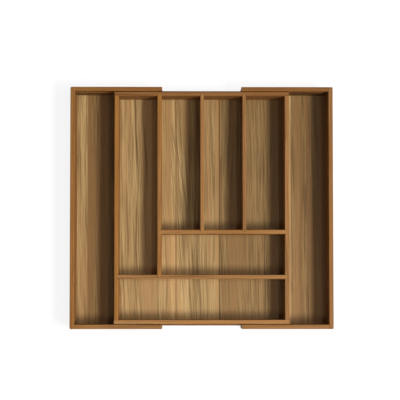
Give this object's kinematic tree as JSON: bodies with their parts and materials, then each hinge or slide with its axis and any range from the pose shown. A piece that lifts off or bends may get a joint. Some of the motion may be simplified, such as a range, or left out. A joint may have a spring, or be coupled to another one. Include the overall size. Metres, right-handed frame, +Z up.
{
  "type": "expandable cutlery tray",
  "caption": "Wooden drawer tray with divided compartments and side wings that slide out along its walls to fit the drawer.",
  "frame": {"origin": "under the middle of the tray, on the surface that it lies on", "axes": "+X along the wings' travel, to the right in the picture; +Y to the back; +Z up, out of the compartments"},
  "size_m": [0.473, 0.436, 0.05],
  "materials": {
    "board": "satin oiled acacia, fine straight grain along each board",
    "floor_panel": "satin oiled acacia panel of striped staves, grain from front to back",
    "runner_strip": "smooth waxed acacia strip"
  },
  "bodies": {
    "centre_tray": {"left_wall": "board", "right_wall": "board", "back_wall": "board", "front_wall": "board", "centre_floor": "floor_panel", "long_divider": "board", "short_divider_left": "board", "short_divider_right": "board", "rear_cross_divider": "board", "front_cross_divider": "board", "back_runner": "runner_strip", "front_runner": "runner_strip"},
    "left_wing": {"left_wing_end_wall": "board", "left_wing_back_rail": "board", "left_wing_front_rail": "board", "left_wing_floor": "floor_panel"},
    "right_wing": {"right_wing_end_wall": "board", "right_wing_back_rail": "board", "right_wing_front_rail": "board", "right_wing_floor": "floor_panel"}
  },
  "joints": [
    {"name": "left_wing_slide", "type": "slide", "parent": "centre_tray", "child": "left_wing", "axis": [1, 0, 0], "range_m": [0, 0.071]},
    {"name": "right_wing_slide", "type": "slide", "parent": "centre_tray", "child": "right_wing", "axis": [-1, 0, 0], "range_m": [0, 0.071]}
  ]
}
